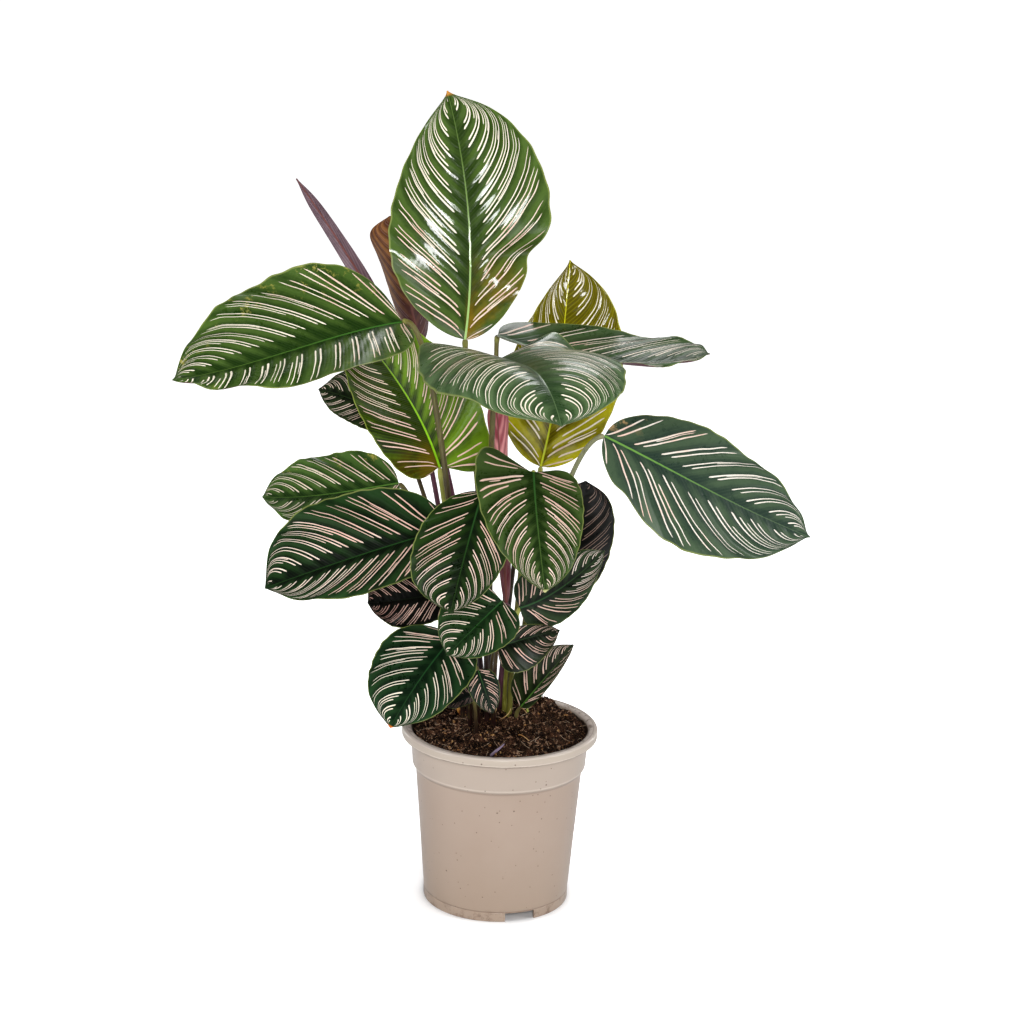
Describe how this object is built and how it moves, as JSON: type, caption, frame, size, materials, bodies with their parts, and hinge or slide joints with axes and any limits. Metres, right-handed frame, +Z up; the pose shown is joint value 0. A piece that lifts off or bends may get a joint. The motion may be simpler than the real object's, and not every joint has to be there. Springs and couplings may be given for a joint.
{
  "type": "potted calathea",
  "caption": "House plant with large pinstriped oval leaves and purple undersides on thin stalks, growing from dark soil in a tapered taupe plastic nursery pot.",
  "frame": {"origin": "middle of the pot's foot on the surface that the pot stands on", "axes": "+Z up along the pot's axis, -Y towards the side shown in the picture, +X to that side's right"},
  "size_m": [0.5859, 0.396, 0.7793],
  "materials": {
    "pot": "satin taupe, a little dusty",
    "soil": "rough, damp peat with chips of bark",
    "leaf_green": "waxy green with cream and pink pinstripes, purple underneath",
    "leaf_dark": "waxy dark green with pink pinstripes, purple underneath",
    "leaf_bright": "waxy yellow-green with pale pinstripes",
    "leaf_rolled": "satin purple underside of a rolled leaf",
    "leaf_red": "satin pink-red underside of a young rolled leaf",
    "stalk": "satin olive",
    "stalk_dark": "satin red-brown",
    "sprout_purple": "matt purple",
    "sprout_green": "satin yellow-green"
  },
  "bodies": {
    "root": {"pot": "pot", "soil": "soil", "blade_top": "leaf_green", "blade_left_high": "leaf_green", "blade_shade": "leaf_green", "blade_right_high": "leaf_green", "blade_lime": "leaf_bright", "blade_right": "leaf_green", "blade_split": "leaf_bright", "blade_left_dark": "leaf_dark", "blade_left_back": "leaf_green", "blade_left_mid": "leaf_green", "blade_dusk": "leaf_dark", "blade_low_left": "leaf_green", "blade_front_left": "leaf_green", "blade_front": "leaf_green", "blade_low_front": "leaf_green", "blade_low_right": "leaf_green", "blade_right_dark": "leaf_dark", "blade_small_right": "leaf_dark", "blade_foot_right": "leaf_dark", "blade_foot_small": "leaf_dark", "blade_foot_dark": "leaf_dark", "blade_spear_left": "leaf_rolled", "blade_spear_back": "leaf_rolled", "blade_spear_red": "leaf_red", "blade_back_high": "leaf_green", "blade_back_mid": "leaf_green", "blade_back_low": "leaf_green", "stalk_top": "stalk", "stalk_left_high": "stalk", "stalk_shade": "stalk", "stalk_right_high": "stalk", "stalk_lime": "stalk", "stalk_right": "stalk", "stalk_split": "stalk", "stalk_left_dark": "stalk_dark", "stalk_left_back": "stalk", "stalk_left_mid": "stalk_dark", "stalk_dusk": "stalk_dark", "stalk_low_left": "stalk_dark", "stalk_front_left": "stalk_dark", "stalk_front": "stalk", "stalk_low_front": "stalk_dark", "stalk_low_right": "stalk_dark", "stalk_right_dark": "stalk_dark", "stalk_small_right": "stalk_dark", "stalk_foot_right": "stalk_dark", "stalk_foot_small": "stalk_dark", "stalk_foot_dark": "stalk_dark", "stalk_spear_left": "stalk_dark", "stalk_spear_back": "stalk_dark", "stalk_spear_red": "stalk_dark", "stalk_back_high": "stalk", "stalk_back_mid": "stalk", "stalk_back_low": "stalk", "sprout_purple": "sprout_purple", "sprout_green": "sprout_green"}
  },
  "joints": []
}
